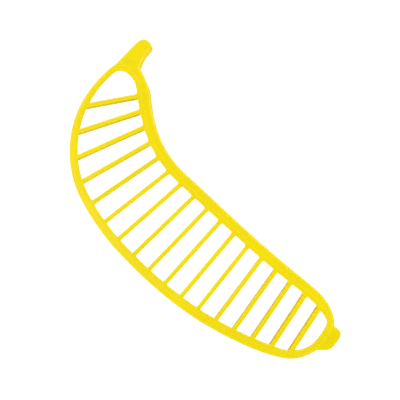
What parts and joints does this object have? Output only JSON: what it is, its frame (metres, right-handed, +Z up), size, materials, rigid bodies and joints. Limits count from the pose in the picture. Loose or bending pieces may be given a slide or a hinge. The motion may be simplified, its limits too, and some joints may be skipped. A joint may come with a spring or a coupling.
{
  "type": "banana slicer",
  "caption": "One-piece plastic banana slicer: a banana-shaped open frame crossed by thin wedge blades, with a stem-shaped grip, pressed down over a peeled banana.",
  "frame": {"origin": "middle of the footprint, at the height of the cutting edges and of the skirt's bottom rim", "axes": "+Z up, from the cutting edges to the flat top that the palm pushes on; +X along the length, towards the stem; +Y towards the long convex side"},
  "size_m": [0.27, 0.1101, 0.0144],
  "materials": {
    "yellow_plastic": "gloss"
  },
  "bodies": {
    "root": {"outer_rail": "yellow_plastic", "inner_rail": "yellow_plastic", "stem_grip": "yellow_plastic", "blossom_tip": "yellow_plastic", "blade_01": "yellow_plastic", "blade_02": "yellow_plastic", "blade_03": "yellow_plastic", "blade_04": "yellow_plastic", "blade_05": "yellow_plastic", "blade_06": "yellow_plastic", "blade_07": "yellow_plastic", "blade_08": "yellow_plastic", "blade_09": "yellow_plastic", "blade_10": "yellow_plastic", "blade_11": "yellow_plastic", "blade_12": "yellow_plastic", "blade_13": "yellow_plastic", "blade_14": "yellow_plastic", "blade_15": "yellow_plastic", "blade_16": "yellow_plastic", "blade_17": "yellow_plastic"}
  },
  "joints": []
}
